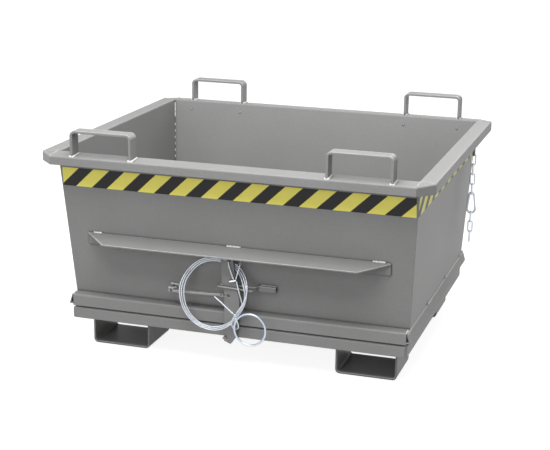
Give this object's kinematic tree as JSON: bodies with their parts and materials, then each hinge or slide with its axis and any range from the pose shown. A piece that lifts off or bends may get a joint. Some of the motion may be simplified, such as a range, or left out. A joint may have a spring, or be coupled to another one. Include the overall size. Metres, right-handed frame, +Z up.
{
  "type": "drop-bottom container",
  "caption": "Tapered steel container with hinged floor flap, fork pockets, crane lugs and a rope-pulled release lever.",
  "frame": {"origin": "middle of the footprint, on the ground under the fork pockets", "axes": "+X to the right along the front wall, +Y from the front wall to the rear wall, +Z up"},
  "size_m": [1.245, 1.088, 0.735],
  "materials": {
    "grey_paint": "satin powder coat",
    "hazard_tape": "yellow and black film",
    "wire_rope": "galvanised strands",
    "spring_steel": "zinc plated wire",
    "ferrule_aluminium": "pressed",
    "zinc_plate": "bright zinc"
  },
  "bodies": {
    "hopper": {"chain_anchor": "grey_paint", "front_collar": "grey_paint", "front_wall": "grey_paint", "guide_tab": "grey_paint", "hazard_tape_front": "hazard_tape", "hazard_tape_left": "hazard_tape", "hazard_tape_rear": "hazard_tape", "hazard_tape_right": "hazard_tape", "hinge_cotters": "zinc_plate", "hinge_lugs": "grey_paint", "hinge_pins": "zinc_plate", "left_roof_strip": "grey_paint", "left_wall": "grey_paint", "lever_boss": "grey_paint", "lever_guide": "grey_paint", "lever_pivot_bolt": "zinc_plate", "lever_pivot_washer": "zinc_plate", "lifting_lug_front_left": "grey_paint", "lifting_lug_front_right": "grey_paint", "lifting_lug_rear_left": "grey_paint", "lifting_lug_rear_right": "grey_paint", "rear_collar": "grey_paint", "rear_wall": "grey_paint", "right_roof_strip": "grey_paint", "right_wall": "grey_paint", "rim_corner_plates": "grey_paint", "shelf_angle": "grey_paint", "spring_anchor": "grey_paint", "tension_spring": "spring_steel"},
    "floor_flap": {"flap_pan": "grey_paint", "fork_pocket_front_left": "grey_paint", "fork_pocket_front_right": "grey_paint", "fork_pocket_rear_left": "grey_paint", "fork_pocket_rear_right": "grey_paint", "catch_plate": "grey_paint", "flap_hinge_left": "grey_paint", "flap_hinge_right": "grey_paint"},
    "release_lever": {"release_lever": "grey_paint", "rope_eye": "wire_rope", "rope_ferrule": "ferrule_aluminium", "rope_lead": "wire_rope", "rope_coil": "wire_rope", "rope_knot": "wire_rope", "rope_loop": "wire_rope", "rope_tail": "wire_rope", "pull_ring": "zinc_plate"},
    "safety_chain": {"chain_links": "zinc_plate"},
    "snap_hook": {"snap_hook": "zinc_plate", "chain_tail": "zinc_plate", "gate_pin": "zinc_plate"},
    "hook_gate": {"hook_gate": "zinc_plate"}
  },
  "joints": [
    {"name": "flap_hinge", "type": "hinge", "parent": "hopper", "child": "floor_flap", "pos_m": [0, 0.443, 0.126], "axis": [1, 0, 0], "range_deg": [0, 85]},
    {"name": "lever_pivot", "type": "hinge", "parent": "hopper", "child": "release_lever", "pos_m": [-0.02, -0.473, 0.367], "axis": [0, -1, 0], "range_deg": [0, 18], "stiffness_Nm_per_rad": 6, "springref_deg": -20.05, "deforming": ["tension_spring"]},
    {"name": "chain_swing", "type": "hinge", "parent": "hopper", "child": "safety_chain", "pos_m": [0.595, 0.315, 0.5745], "axis": [1, 0, 0], "range_deg": [-50, 50]},
    {"name": "hook_swing", "type": "hinge", "parent": "safety_chain", "child": "snap_hook", "pos_m": [0.595, 0.315, 0.4304], "axis": [0, -1, 0], "range_deg": [0, 45]},
    {"name": "gate_hinge", "type": "hinge", "parent": "snap_hook", "child": "hook_gate", "pos_m": [0.60838, 0.315, 0.38515], "axis": [0, -1, 0], "range_deg": [0, 12], "stiffness_Nm_per_rad": 0.02, "springref_deg": -17.19}
  ]
}
